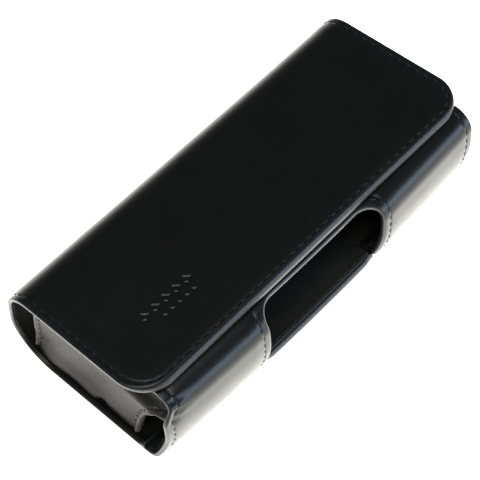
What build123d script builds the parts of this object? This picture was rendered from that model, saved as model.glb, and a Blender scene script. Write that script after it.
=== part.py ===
from build123d import *
from math import cos, degrees, pi, radians, sin, tan
import os

# Horizontal leather belt pouch for a bar telephone, lying on its back.
# X runs along the pouch, +Y is the spine that covers the pocket's mouth,
# -Y is the rolled lower side, and +Z points out of the flap.
# Profiles are drawn in the YZ plane with z = 0 at the back panel's outer face.

os.makedirs("parts", exist_ok=True)

# ---- driving dimensions, in millimetres -------------------------------------
length = 120.0              # shell and flap, along X
depth = 56.4                # spine to lower side, along Y
height = 29.5               # back panel's outer face to the flap's outer face

leather = 1.2               # outer leather, skived
core = 1.0                  # bonded-leather stiffener
lining = 0.6                # suede-finish lining
shell = leather + core + lining

spine_lean = radians(10.5)  # the spine leans in towards the flap
lower_fold_radius = 13.0    # back panel into spine, outer face
upper_fold_radius = 9.5     # spine into flap, outer face
fold_gap = 0.4              # cut between two bodies at a fold

flap_edge_y = -22.7         # the flap's free edge
flap_corner = 9.5           # plan radius of the flap's two free corners

front_length = 116.0        # front panel, along X
front_height = 26.0         # outer face of the front panel, under the flap
side_lean = radians(11.0)   # the lower side leans out towards the flap
front_roll_radius = 6.0     # lower side into the front face
bottom_roll_radius = 3.0    # back panel into the lower side
front_seam_y = -20.5        # the front panel is sewn to the back panel here
mouth_y = 19.9              # the front panel's edge at the pocket's mouth

notch_left = -22.5          # window in the lower side, along X
notch_right = 20.5
notch_rim_y = -23.1         # its upper rim, on the front roll
notch_corner = 5.5
lip_y = -25.0               # the back panel's free edge inside the window

gusset_face_x = 57.4        # outer face of each end gusset
gusset_leather = 1.2
gusset_lining = 0.6
hem_middle = (21.9, 13.5)   # the gusset's hem, half-way up
hem_turn = radians(-45.5)   # where the hem meets the lower fold

arch_foot = (-13.9, shell)  # the opening in the gusset's lower corner
arch_middle = (-17.6, 12.9)
arch_top = (-22.6, 19.3)

magnet_diameter = 12.0      # closure magnets in the flap, steel discs below
magnet_x = 33.0
magnet_y = -14.5
magnet_fit = 0.2            # clearance of a disc in its hole

strap_leather = 1.2         # belt loop
strap_lining = 0.4
strap = strap_leather + strap_lining
belt_gap = 4.6              # clear height of the slot
loop_length = 62.0          # along X
loop_front_y = -19.0        # the loop's outer walls
loop_rear_y = 14.5
loop_tab = 3.2              # sewn tabs outside the walls
loop_corner = 3.2

stitch_length = 2.1
stitch_width = 0.45
stitch_height = 0.2
stitch_pitch = 3.0
edge_row = 1.9              # rows this far in from a turned edge
seam_row = 3.0              # rows this far in from a sewn seam

ornament_x = -36.0          # blind-tooled row of lozenges on the flap
ornament_y = -9.4
ornament_pitch = 3.6
ornament_size = 1.7
ornament_depth = 0.2

# ---- derived places ---------------------------------------------------------
back_z = belt_gap + strap                    # the back panel above the ground
section = Plane(origin=(0, 0, back_z), x_dir=(0, 1, 0), z_dir=(1, 0, 0))
spine_out_y = depth / 2
lower_centre = Vector(0, spine_out_y - lower_fold_radius, lower_fold_radius)
spine_foot_y = lower_centre.Y + lower_fold_radius * cos(spine_lean)
spine_foot_z = lower_centre.Z + lower_fold_radius * sin(spine_lean)
side_out_y = -depth / 2
roll_centre_z = front_height - front_roll_radius
side_top_y = side_out_y + front_roll_radius * (1 - cos(side_lean))
side_top_z = roll_centre_z - front_roll_radius * sin(side_lean)


def spine_y(inset, z):
    """The spine's Y at height z, this far inside its outer face."""
    return spine_foot_y - inset / cos(spine_lean) - (z - spine_foot_z) * tan(spine_lean)


def side_y(inset, z):
    """The lower side's Y at height z, this far inside its outer face."""
    return side_top_y + inset / cos(side_lean) + (side_top_z - z) * tan(side_lean)


def shell_line(inset, start_y, end_y):
    """Back panel, spine and flap as one bent line, this far inside the outer face."""
    return FilletPolyline(
        (start_y, inset),
        (spine_y(inset, inset), inset),
        (spine_y(inset, height - inset), height - inset),
        (end_y, height - inset),
        radius=[lower_fold_radius - inset, upper_fold_radius - inset],
    )


def front_line(inset, tuck):
    """Bottom roll, lower side and front face as one bent line, short of the mouth by tuck."""
    return FilletPolyline(
        (front_seam_y, inset),
        (side_y(inset, inset), inset),
        (side_y(inset, front_height - inset), front_height - inset),
        (mouth_y - tuck, front_height - inset),
        radius=[bottom_roll_radius - inset, front_roll_radius - inset],
    )


def close_layer(outer, inner):
    """Joins the ends of two bent lines, so that they bound one layer."""
    Line(outer @ 0, inner @ 0)
    Line(outer @ 1, inner @ 1)


def fold_point(centre, radius, turn):
    """The outer face's point at an angle of turn above +Y, on a fold."""
    return Vector(0, centre.Y + radius * cos(turn), centre.Z + radius * sin(turn))


def fold_cut(point, turn, shift):
    """A radial plane across a fold, moved along the leather by shift."""
    along = Vector(0, -sin(turn), cos(turn))
    origin = point + along * shift + Vector(0, 0, back_z)
    return Plane(origin=origin, x_dir=(1, 0, 0), z_dir=along)


upper_centre = Vector(
    0,
    spine_y(upper_fold_radius, height - upper_fold_radius),
    height - upper_fold_radius,
)
lower_turn = (spine_lean - radians(90)) / 2
upper_turn = (spine_lean + radians(90)) / 2
lower_fold = fold_point(lower_centre, lower_fold_radius, lower_turn)
upper_fold = fold_point(upper_centre, upper_fold_radius, upper_turn)
pouch_cut = fold_cut(lower_fold, lower_turn, -fold_gap / 2)
spine_low_cut = fold_cut(lower_fold, lower_turn, fold_gap / 2)
spine_high_cut = fold_cut(upper_fold, upper_turn, -fold_gap / 2)
flap_cut = fold_cut(upper_fold, upper_turn, fold_gap / 2)
half_length = length / 2
half_front = front_length / 2


# ---- layers of the shell: back panel, spine and flap ------------------------
def shell_band(outer_inset, inner_inset, tuck):
    """One layer from the front seam to the flap's edge, tucked in from its edges."""
    with BuildPart() as band:
        with BuildSketch(section):
            with BuildLine():
                outer = shell_line(outer_inset, front_seam_y, flap_edge_y + tuck)
                inner = shell_line(inner_inset, front_seam_y, flap_edge_y + tuck)
                close_layer(outer, inner)
            make_face()
        extrude(amount=half_length - tuck, both=True)
        free_corners = band.edges().filter_by(Axis.Z).group_by(Axis.Y)[0]
        fillet(free_corners, flap_corner - tuck)
    return band.part


def lip_slab(outer_inset, inner_inset, tuck):
    """One layer of the back panel's lip, between the window's two rims."""
    with BuildPart() as slab:
        with BuildSketch(Plane.XY.offset(back_z + outer_inset)):
            with Locations(((notch_left + notch_right) / 2, front_seam_y)):
                Rectangle(
                    notch_right - notch_left - 2 * tuck,
                    front_seam_y - lip_y - tuck,
                    align=(Align.CENTER, Align.MAX),
                )
        extrude(amount=inner_inset - outer_inset)
    return slab.part


shell_outside = shell_band(0, shell, 0)
shell_inside = shell_band(leather, shell, leather)
shell_core = shell_band(leather, leather + core, leather)
shell_lining = shell_band(leather + core, shell, leather)
lip_outside = lip_slab(0, shell, 0)
lip_inside = lip_slab(leather, shell, leather)
lip_core = lip_slab(leather, leather + core, leather)
lip_lining = lip_slab(leather + core, shell, leather)
half_way = Plane.XY.offset(back_z + height / 2)

# ---- back panel -------------------------------------------------------------
with BuildPart() as back_leather:
    add(shell_outside)
    add(lip_outside)
    add(shell_inside, mode=Mode.SUBTRACT)
    add(lip_inside, mode=Mode.SUBTRACT)
    split(bisect_by=half_way, keep=Keep.BOTTOM)
    split(bisect_by=pouch_cut, keep=Keep.BOTTOM)

with BuildPart() as back_stiffener:
    add(shell_core)
    add(lip_core)
    split(bisect_by=half_way, keep=Keep.BOTTOM)
    split(bisect_by=pouch_cut, keep=Keep.BOTTOM)

with BuildPart() as back_lining:
    add(shell_lining)
    add(lip_lining)
    split(bisect_by=half_way, keep=Keep.BOTTOM)
    split(bisect_by=pouch_cut, keep=Keep.BOTTOM)

# ---- spine ------------------------------------------------------------------
with BuildPart() as spine_leather:
    add(shell_outside)
    add(shell_inside, mode=Mode.SUBTRACT)
    split(bisect_by=spine_low_cut, keep=Keep.TOP)
    split(bisect_by=spine_high_cut, keep=Keep.BOTTOM)

with BuildPart() as spine_stiffener:
    add(shell_core)
    split(bisect_by=spine_low_cut, keep=Keep.TOP)
    split(bisect_by=spine_high_cut, keep=Keep.BOTTOM)

with BuildPart() as spine_lining:
    add(shell_lining)
    split(bisect_by=spine_low_cut, keep=Keep.TOP)
    split(bisect_by=spine_high_cut, keep=Keep.BOTTOM)

# ---- flap, with a blind-tooled ornament and pockets for its magnets ----------
magnet_places = [(-magnet_x, magnet_y), (magnet_x, magnet_y)]
ornament_places = [(ornament_x + step * ornament_pitch, ornament_y) for step in range(-2, 3)]
flap_core_z = back_z + height - leather - core
front_core_z = back_z + front_height - leather - core

with BuildPart() as flap_leather:
    add(shell_outside)
    add(shell_inside, mode=Mode.SUBTRACT)
    split(bisect_by=half_way, keep=Keep.TOP)
    split(bisect_by=flap_cut, keep=Keep.TOP)
    with BuildSketch(Plane.XY.offset(back_z + height)):
        with Locations(*ornament_places):
            Rectangle(ornament_size, ornament_size, rotation=45)
    extrude(amount=-ornament_depth, mode=Mode.SUBTRACT)

with BuildPart() as flap_stiffener:
    add(shell_core)
    split(bisect_by=half_way, keep=Keep.TOP)
    split(bisect_by=flap_cut, keep=Keep.TOP)
    with BuildSketch(Plane.XY.offset(flap_core_z)):
        with Locations(*magnet_places):
            Circle(magnet_diameter / 2 + magnet_fit)
    extrude(amount=core, mode=Mode.SUBTRACT)

with BuildPart() as flap_lining:
    add(shell_lining)
    split(bisect_by=half_way, keep=Keep.TOP)
    split(bisect_by=flap_cut, keep=Keep.TOP)


def disc(place, base_z):
    """A closure disc, as thick as the stiffener that it sits in."""
    with BuildPart() as piece:
        with BuildSketch(Plane.XY.offset(base_z)):
            with Locations(place):
                Circle(magnet_diameter / 2)
        extrude(amount=core)
    return piece


flap_magnet_left = disc(magnet_places[0], flap_core_z)
flap_magnet_right = disc(magnet_places[1], flap_core_z)
catch_plate_left = disc(magnet_places[0], front_core_z)
catch_plate_right = disc(magnet_places[1], front_core_z)


# ---- front panel, with its window -------------------------------------------
def window_tool(tuck):
    """What the window takes out of a front layer, wider by tuck all round."""
    middle = (notch_left + notch_right) / 2
    width = notch_right - notch_left + 2 * tuck
    tall = front_height + 2 * notch_corner + tuck
    with BuildPart() as tool:
        with BuildSketch(Plane.XZ.offset(-notch_rim_y - tuck)):
            with Locations((middle, back_z + front_height + tuck)):
                with Locations((0, -tall / 2)):
                    RectangleRounded(width, tall, notch_corner + tuck)
        extrude(amount=depth)
        with BuildSketch(Plane.XY.offset(back_z)):
            with Locations((middle, front_seam_y)):
                Rectangle(width, depth, align=(Align.CENTER, Align.MAX))
        extrude(amount=front_height / 2)
    return tool.part


def front_layer(outer_inset, inner_inset, tuck):
    """One layer of the front panel, tucked in from its ends, mouth and window."""
    window = window_tool(tuck)
    with BuildPart() as layer:
        with BuildSketch(section):
            with BuildLine():
                outer = front_line(outer_inset, tuck)
                inner = front_line(inner_inset, tuck)
                close_layer(outer, inner)
            make_face()
        extrude(amount=half_front - tuck, both=True)
        add(window, mode=Mode.SUBTRACT)
    return layer.part


front_outside = front_layer(0, shell, 0)
front_inside = front_layer(leather, shell, leather)
front_core = front_layer(leather, leather + core, leather)
front_lined = front_layer(leather + core, shell, leather)

with BuildPart() as front_leather:
    add(front_outside)
    add(front_inside, mode=Mode.SUBTRACT)

with BuildPart() as front_stiffener:
    add(front_core)
    with BuildSketch(Plane.XY.offset(front_core_z)):
        with Locations(*magnet_places):
            Circle(magnet_diameter / 2 + magnet_fit)
    extrude(amount=core, mode=Mode.SUBTRACT)

with BuildPart() as front_lining:
    add(front_lined)


# ---- end gussets, with a rounded opening at the lower corner ------------------
def gusset_wall(near_x, far_x):
    """A gusset layer between two planes of constant X."""
    fold_inside = lower_fold_radius - shell
    foot = fold_point(lower_centre, fold_inside, hem_turn)
    sweep = 90 + degrees(hem_turn)
    with BuildPart() as wall:
        with BuildSketch(section.offset(near_x)):
            with BuildLine():
                inside = front_line(shell, 0)
                ThreePointArc(inside @ 1, hem_middle, (foot.Y, foot.Z))
                CenterArc((lower_centre.Y, lower_centre.Z), fold_inside, -90, sweep)
                Line((lower_centre.Y, shell), (front_seam_y, shell))
            make_face()
            with BuildLine():
                ThreePointArc(arch_foot, arch_middle, arch_top)
                Polyline(
                    arch_top,
                    (side_out_y, arch_top[1]),
                    (side_out_y, 0),
                    (arch_foot[0], 0),
                    arch_foot,
                )
            make_face(mode=Mode.SUBTRACT)
        extrude(amount=far_x - near_x)
    return wall


lining_face_x = gusset_face_x - gusset_leather
lining_back_x = lining_face_x - gusset_lining
gusset_leather_left = gusset_wall(-gusset_face_x, -lining_face_x)
gusset_leather_right = gusset_wall(lining_face_x, gusset_face_x)
gusset_lining_left = gusset_wall(-lining_face_x, -lining_back_x)
gusset_lining_right = gusset_wall(lining_back_x, lining_face_x)


# ---- belt loop on the back panel ----------------------------------------------
def loop_line(inset):
    """The strap's run round the belt's slot, this far inside its outer face."""
    return FilletPolyline(
        (loop_front_y + inset, 0),
        (loop_front_y + inset, inset - belt_gap - strap),
        (loop_rear_y - inset, inset - belt_gap - strap),
        (loop_rear_y - inset, 0),
        radius=loop_corner - inset,
    )


with BuildPart() as belt_loop:
    with BuildSketch(section):
        with BuildLine():
            loop_outside = loop_line(0)
            loop_inside = loop_line(strap_leather)
            close_layer(loop_outside, loop_inside)
        make_face()
        with Locations((loop_front_y, 0)):
            Rectangle(loop_tab, strap_leather, align=(Align.MAX, Align.MAX))
        with Locations((loop_rear_y, 0)):
            Rectangle(loop_tab, strap_leather, align=(Align.MIN, Align.MAX))
    extrude(amount=loop_length / 2, both=True)

with BuildPart() as belt_loop_lining:
    with BuildSketch(section):
        with BuildLine():
            lining_outside = loop_line(strap_leather)
            lining_inside = loop_line(strap)
            close_layer(lining_outside, lining_inside)
        make_face()
    extrude(amount=loop_length / 2, both=True)

# ---- stitching ------------------------------------------------------------------
shell_outline = shell_line(0, front_seam_y, flap_edge_y)
front_outline = front_line(0, 0)
low_fold_run = lower_centre.Y - front_seam_y + lower_fold_radius * (pi / 2 + lower_turn)
high_fold_run = shell_outline.length - upper_fold_radius * (pi / 2 - upper_turn) - (
    upper_centre.Y - flap_edge_y
)
row_x = half_length - edge_row
seam_x = half_front - seam_row
row_end = 1.5                                # rows stop this far short of a fold


def thread_on(profile, inward, row):
    """Places of the stitches of a row that is drawn flat: X, then the run along a profile."""
    count = round(row.length / stitch_pitch)
    places = []
    for number in range(count):
        spot = row.position_at((number + 0.5) / count)
        heading = row.tangent_at((number + 0.5) / count)
        on = profile.position_at(spot.Y, PositionMode.LENGTH)
        along = profile.tangent_at(spot.Y, PositionMode.LENGTH)
        outward = Vector(0, along.Y, -along.X) * inward
        stitch_dir = Vector(heading.X, heading.Y * along.X, heading.Y * along.Y)
        origin = Vector(spot.X, on.X, on.Y + back_z)
        places.append(Plane(origin=origin, x_dir=stitch_dir, z_dir=outward).location)
    return places


def thread_flat(plane, row):
    """Places of the stitches of a row that is drawn on a plane."""
    count = round(row.length / stitch_pitch)
    places = []
    for number in range(count):
        spot = row.position_at((number + 0.5) / count)
        heading = row.tangent_at((number + 0.5) / count)
        stitch = Plane(origin=spot, x_dir=heading, z_dir=(0, 0, 1))
        places.append(plane.location * stitch.location)
    return places


def sew(places):
    """One row of stitches, each a short bar that lies on the leather."""
    with BuildPart() as row:
        with Locations(*places):
            Box(
                stitch_length,
                stitch_width,
                stitch_height,
                align=(Align.CENTER, Align.CENTER, Align.MIN),
            )
    return row


def end_rows(x, start, stop):
    """Two straight rows along a profile, one at each end of the pouch."""
    return [Line((side * x, start), (side * x, stop)) for side in (-1, 1)]


flap_row = FilletPolyline(
    (-row_x, high_fold_run + row_end),
    (-row_x, shell_outline.length - edge_row),
    (row_x, shell_outline.length - edge_row),
    (row_x, high_fold_run + row_end),
    radius=flap_corner - edge_row,
)
flap_stitches = sew(thread_on(shell_outline, 1, flap_row))

spine_places = []
for row in end_rows(row_x, low_fold_run + row_end, high_fold_run - row_end):
    spine_places += thread_on(shell_outline, 1, row)
spine_stitches = sew(spine_places)

back_places = []
for row in end_rows(row_x, row_end, low_fold_run - row_end):
    back_places += thread_on(shell_outline, 1, row)
back_stitches = sew(back_places)

window_row_left = notch_left - edge_row
window_row_right = notch_right + edge_row
window_row_top = front_outline.length - (mouth_y - notch_rim_y - edge_row)
window_row = FilletPolyline(
    (window_row_left, row_end),
    (window_row_left, window_row_top),
    (window_row_right, window_row_top),
    (window_row_right, row_end),
    radius=notch_corner + edge_row,
)
window_stitches = sew(thread_on(front_outline, -1, window_row))

lip_top = Plane.XY.offset(back_z + shell)
lip_row = Line(
    (notch_left + edge_row, lip_y + edge_row),
    (notch_right - edge_row, lip_y + edge_row),
)
lip_stitches = sew(thread_flat(lip_top, lip_row))

seam_rows = end_rows(seam_x, row_end, front_outline.length - row_end)
seam_stitches_left = sew(thread_on(front_outline, -1, seam_rows[0]))
seam_stitches_right = sew(thread_on(front_outline, -1, seam_rows[1]))

mouth_top = Plane.XY.offset(back_z + front_height)
mouth_row_x = seam_x - stitch_pitch
mouth_row = Line(
    (-mouth_row_x, mouth_y - edge_row),
    (mouth_row_x, mouth_y - edge_row),
)
mouth_stitches = sew(thread_flat(mouth_top, mouth_row))

under_back = Plane(origin=(0, 0, back_z), x_dir=(1, 0, 0), z_dir=(0, 0, -1))
bottom_places = []
for side in (-1, 1):
    bottom_row = Line(
        (side * (loop_length / 2 + edge_row), -front_seam_y - edge_row),
        (side * (row_x - stitch_pitch), -front_seam_y - edge_row),
    )
    bottom_places += thread_flat(under_back, bottom_row)
bottom_seam_stitches = sew(bottom_places)

hem_row = (
    (mouth_y - edge_row, front_height - shell - row_end),
    (hem_middle[0] - edge_row, hem_middle[1]),
    (hem_middle[0] - edge_row, lower_fold_radius / 2),
)
arch_row = (
    (arch_foot[0] + edge_row, arch_foot[1] + row_end),
    (arch_middle[0] + edge_row, arch_middle[1] + row_end / 2),
    (arch_top[0] + row_end, arch_top[1] + edge_row),
)


def gusset_thread(side, row):
    """One row on an end gusset's outer face; side is -1 on the left, 1 on the right."""
    face = Plane(origin=(side * gusset_face_x, 0, back_z), x_dir=(0, side, 0), z_dir=(side, 0, 0))
    arc = ThreePointArc(*[(side * y, z) for y, z in row])
    return sew(thread_flat(face, arc))


hem_stitches_left = gusset_thread(-1, hem_row)
hem_stitches_right = gusset_thread(1, hem_row)
arch_stitches_left = gusset_thread(-1, arch_row)
arch_stitches_right = gusset_thread(1, arch_row)

under_tabs = Plane(origin=(0, 0, back_z - strap_leather), x_dir=(1, 0, 0), z_dir=(0, 0, -1))
tab_x = loop_length / 2 - edge_row
loop_places = []
for tab_y in (loop_front_y - loop_tab / 2, loop_rear_y + loop_tab / 2):
    loop_places += thread_flat(under_tabs, Line((-tab_x, -tab_y), (tab_x, -tab_y)))
belt_loop_stitches = sew(loop_places)

# ---- labels and files -------------------------------------------------------------
pieces = {
    "back_leather": back_leather,
    "back_stiffener": back_stiffener,
    "back_lining": back_lining,
    "front_leather": front_leather,
    "front_stiffener": front_stiffener,
    "front_lining": front_lining,
    "gusset_leather_left": gusset_leather_left,
    "gusset_leather_right": gusset_leather_right,
    "gusset_lining_left": gusset_lining_left,
    "gusset_lining_right": gusset_lining_right,
    "catch_plate_left": catch_plate_left,
    "catch_plate_right": catch_plate_right,
    "belt_loop": belt_loop,
    "belt_loop_lining": belt_loop_lining,
    "spine_leather": spine_leather,
    "spine_stiffener": spine_stiffener,
    "spine_lining": spine_lining,
    "flap_leather": flap_leather,
    "flap_stiffener": flap_stiffener,
    "flap_lining": flap_lining,
    "flap_magnet_left": flap_magnet_left,
    "flap_magnet_right": flap_magnet_right,
    "flap_stitches": flap_stitches,
    "spine_stitches": spine_stitches,
    "back_stitches": back_stitches,
    "window_stitches": window_stitches,
    "lip_stitches": lip_stitches,
    "seam_stitches_left": seam_stitches_left,
    "seam_stitches_right": seam_stitches_right,
    "mouth_stitches": mouth_stitches,
    "bottom_seam_stitches": bottom_seam_stitches,
    "hem_stitches_left": hem_stitches_left,
    "hem_stitches_right": hem_stitches_right,
    "arch_stitches_left": arch_stitches_left,
    "arch_stitches_right": arch_stitches_right,
    "belt_loop_stitches": belt_loop_stitches,
}
for name, piece in pieces.items():
    piece.part.label = name
    export_step(piece.part, f"parts/{name}.step")
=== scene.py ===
import math
import random

import bmesh
import bpy
import numpy as np
from mathutils import Matrix, Vector


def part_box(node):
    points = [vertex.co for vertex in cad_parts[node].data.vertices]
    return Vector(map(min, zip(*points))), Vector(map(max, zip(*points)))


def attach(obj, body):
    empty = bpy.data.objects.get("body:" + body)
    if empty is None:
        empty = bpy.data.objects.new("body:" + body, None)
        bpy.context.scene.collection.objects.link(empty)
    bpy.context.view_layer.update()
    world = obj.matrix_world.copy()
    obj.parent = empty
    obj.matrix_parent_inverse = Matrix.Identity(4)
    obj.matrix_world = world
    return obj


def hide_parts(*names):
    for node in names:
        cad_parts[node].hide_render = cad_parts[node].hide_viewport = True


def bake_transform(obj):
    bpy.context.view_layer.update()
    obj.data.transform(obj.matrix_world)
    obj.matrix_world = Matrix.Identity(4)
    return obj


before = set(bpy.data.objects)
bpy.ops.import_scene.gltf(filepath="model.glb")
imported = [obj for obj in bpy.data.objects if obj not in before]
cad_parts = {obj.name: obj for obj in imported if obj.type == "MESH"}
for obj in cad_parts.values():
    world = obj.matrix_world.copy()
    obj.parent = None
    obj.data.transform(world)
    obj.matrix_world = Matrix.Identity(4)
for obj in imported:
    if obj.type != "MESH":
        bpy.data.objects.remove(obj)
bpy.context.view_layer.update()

# A horizontal leather belt pouch. Shapes are worked out in millimetres in the
# frame's axes, with z counted from the back panel's outer face, and are turned
# into metres where a mesh is made. A sheet of leather is drawn flat first, as
# x along the pouch and s along its bent section.

MM = 0.001
rng = random.Random(7)


def low(node, axis):
    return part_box(node)[0][axis] / MM


def high(node, axis):
    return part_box(node)[1][axis] / MM


# ---- sizes, from the frame ----
BACK_Z = low("back_leather", 2)
HALF_LENGTH = high("flap_leather", 0)
HALF_FRONT = high("front_leather", 0)
HEIGHT = high("flap_leather", 2) - BACK_Z
FRONT_Z = high("front_leather", 2) - BACK_Z
FLAP_EDGE_Y = low("flap_leather", 1)
SPINE_Y = max(high("spine_leather", 1), high("back_leather", 1))
SIDE_Y = low("front_leather", 1)
MOUTH_Y = high("front_leather", 1)
LIP_Y = low("back_leather", 1)
GUSSET_X = high("gusset_leather_right", 0)
LOOP_X = high("belt_loop", 0)
LOOP_TABS_Y = (low("belt_loop", 1), high("belt_loop", 1))

# ---- sizes of the leather itself ----
SHELL = 2.8  # leather, stiffener and lining together
LINING = 0.5
LINING_SUNK = 0.08  # it starts this far inside the leather's inner face
LINING_NAP = 0.1  # and its nap stands this much higher
LINING_ROUND = 0.8  # its corner radius, in thicknesses
TUCK = 1.0  # the lining stops this far inside a turned edge
# thickness of an edge, then its corner radius outside and inside
THIN_EDGE = (1.3, 0.45, 0.45)  # skived, as at the pouch's ends
FRONT_EDGE = (2.95, 1.75, 0.5)  # along the flap's front
RIM_EDGE = (1.8, 0.85, 0.5)  # round the window
LIP_EDGE = (2.5, 0.6, 1.6)  # the back panel's edge in the window
SKIVE_FROM = 0.6  # a thinned edge grows to full thickness from here
SKIVE_RUN = 3.0
RIM_NEAR = 6.0  # the window's full edge thins out between these distances
RIM_FAR = 12.0
LIP_RUN = 3.0  # and the lip's over this one
SPINE_LEAN = 10.5  # degrees
LOWER_FOLD = 13.0  # the outer radii of the two folds
UPPER_FOLD = 9.5
FLAP_CORNER = 9.5
BOTTOM_ROLL = 3.2
FRONT_ROLL = 6.0
BELLY = 39.0  # the lower side is a slow arc of this radius
BELLY_TOP_Z = 17.0
END_PULL = 2.0  # how far the lower side is drawn in at the two ends
END_FADE = 11.0
FLAP_PROUD = 0.3  # the turned edge stands a little past the board
SKEW = (-0.35, 0.65)  # the flap's right end leans in x, from fold to front edge
SKEW_FROM = 10.0
LIP_TUCK = 0.5  # the lip draws in at its two ends
LIP_FADE = 4.0
NARROW_FROM = 28.0  # the lower side narrows upwards, beyond this x
NARROW_RUN = 16.0
DRAWN_IN = 3.0  # the front's left end goes in under the flap's corner
DRAWN_FROM = (36.0, 3.0, 18.5)  # it starts at this x, y and z
DRAWN_RUN = (14.0, 5.5)  # and takes this far in y and z
# a pinched fold where the front meets the left gusset, the crumpled leather round it
# and a dimple under it: height, middle in x and in s from the fold, reach in x and s
PINCH = (1.1, -56.9, 0.0, 1.5, 1.3)
CRUMPLE = (0.22, -53.5, 0.0, 3.0, 3.2)
DIMPLE = (-0.65, -55.0, -3.4, 1.3, 1.7)
CRUMPLE_WAVE = (0.45, 2.0)  # radians per mm of x and s
PINCH_RISE = (-0.9, 0.45)  # all three stand out this way in y and z
PINCH_BACK = 6.3  # the fold lies this far before the front face, in s
FRONT_SEAM_Y = -20.5
WINDOW_LEFT = -22.5
WINDOW_RIGHT = 20.5
RIM_DROP = 0.9  # the window reaches up to this far below the front face
WINDOW_CORNER = 6.0
WINDOW_SPREAD = 6.0  # round its corners the grid turns square over this distance
EDGE_ROW = 1.9  # rows of stitches lie this far from an edge
FRONT_ROW = 2.4
# grid lines beside an edge, and fewer of them for linings
RINGS = (0, 0.05, 0.15, 0.3, 0.45, 0.7, 1.0, 1.35, 1.65, 1.9, 2.15, 2.4, 2.65, 2.95, 3.4, 4.5)
FEW_RINGS = (0, 0.06, 0.2, 0.4, 1.2, 2.4)
LOOP_RINGS = RINGS[:9]
GUSSET_RINGS = RINGS[:-1]
SAME_LINE = 0.045  # grid lines nearer than this are one
STEP = 2.4  # the grid's spacing along the flap, the back and the loop
SECTION_STEP = 2.2  # along a section, and along the front
CURVE_STEP = 0.8  # in corners and folds
WINDOW_STEP = 0.7  # by the window, and up the front
RIM_STEP = 0.6
UPPER_FOLD_STEP = 0.45
CHANNEL_DEPTH = 0.17  # the stitched channel
CHANNEL_WIDTH = 0.3
PUFF = (0.07, 2.6, 1.8)  # the swelling inside the channel: height, distance, reach
PALE_EDGE_REACH = 0.9  # how far an edge is paler: rubbed wear, and painted highlight where the rim catches light
SHARP = 55  # degrees, from which an edge is drawn sharp
THREAD_SHARP = 80
TURN_POINTS = 13  # round a corner of a row of stitches
# slow unevenness: radians per mm of x and s, phase, height
WAVES = (
    (0.045, 0.021, 0.4, 0.07),
    (-0.028, 0.083, 1.9, 0.06),
    (0.11, -0.06, 4.4, 0.03),
    (0.17, 0.21, 2.7, 0.012),
)
WAVES_FADE = 8.0  # they die out over this distance from an edge
ORNAMENT_X = -36.0
ORNAMENT_Y = -6.6
ORNAMENT_PITCH = 3.6
ORNAMENT_SIZE = 1.7
ORNAMENT_DEPTH = 0.2
SMALL_X = -34.6
SMALL_Y = -10.1
SMALL_PITCH = 2.5
SMALL_SIZE = 0.95
TOOLED_STEP = 0.16  # the grid's spacing under the ornament
TOOLED_X = (-9.6, 9.6)  # how far that reaches
TOOLED_S = (-2.2, 4.6)
TOOLED_SLOPE = 0.35
TOOLED_OPEN = (0.85, 0.5, 0.3)  # a lozenge's middle: height, size, slope

SUEDE_SHADE_REACH = (0.0026, 0.0034)  # the lining gets painted shade towards its two ends, between these squares of the way along, in metres

# ---- gussets ----
GUSSET_THICK = 1.3
GUSSET_SUNK = 1.15  # its upper edge goes this deep under the front's outer face
GUSSET_FOOT_Z = 1.6  # its lower edge is sewn to the back panel's thin margin
GUSSET_ROUND = 0.6
GUSSET_OVERLAP = 0.05  # its lining starts this far inside it
GUSSET_WIDTH = 36.0  # from hem to arch, more or less
GUSSET_STEP = 2.5  # the grid's spacing, in percent of that
GUSSET_RISE = 34  # grid rows, and further ones low down
LOW_ROWS = {0.008, 0.02, 0.045, 0.06}
# the gusset's edges are paler over this reach: rubbed wear and a painted highlight on the rim
GUSSET_PALE_EDGE = 1.35
GUSSET_BEAD = (2.6, 0.85, 0.55)  # the hem's roll: height in channels, distance, reach
GUSSET_BELLY = (0.55, -2.0, 13.0, 15.0, 6.0)  # height, middle in y and z, reach
GUSSET_CREASE = (0.22, 0.33, 0.12, 0.21)  # height, radians per mm of y, z and z
# the lower edge flares out, less towards the front, and is wavy, with one deep notch
FLARE = (1.15, 0.45, 1.5, 5.0)  # its size, how much less, from this y, over this run
FLARE_TOP = (9.5, 8.0)  # down from this z, over this run
WAVY = (0.12, 0.41, 0.6)  # height, radians per mm of y, phase
WAVY_TOP = (4.2, 1.8)
NOTCH = (1.0, -1.6, 1.1)  # depth, y, reach
INSIDE_POINTS = 260  # along the curves that its outline is taken from
FOLD_POINTS = 24
ARC_POINTS = 41
HEM_MIDDLE = (21.9, 13.5)  # y and z, as for the arch
HEM_TURN = -45.5  # where the hem meets the lower fold, in degrees round it
ARCH_FOOT = (-14.8, 1.6)
ARCH_MIDDLE = (-17.6, 12.9)
ARCH_TOP = (-22.6, 19.3)

# ---- belt loop ----
STRAP = 1.2
STRAP_ROUND = 0.45  # corner radii, in thicknesses
SOFT_ROUND = 0.6
STRAP_LINING = 0.4
STRAP_OVERLAP = 0.04
LOOP_TUCK = 1.0
LOOP_ROW = 1.6
LOOP_CHANNEL = 0.12
LOOP_STEP = 2.6
LOOP_BEND_STEP = 0.42
LOOP_BEND_FROM = 0.3  # clear of the strap's end
LOOP_FRONT_Y = -19.0
LOOP_REAR_Y = 14.5
LOOP_CORNER = 3.2
TAB_BEND = 0.7

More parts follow.
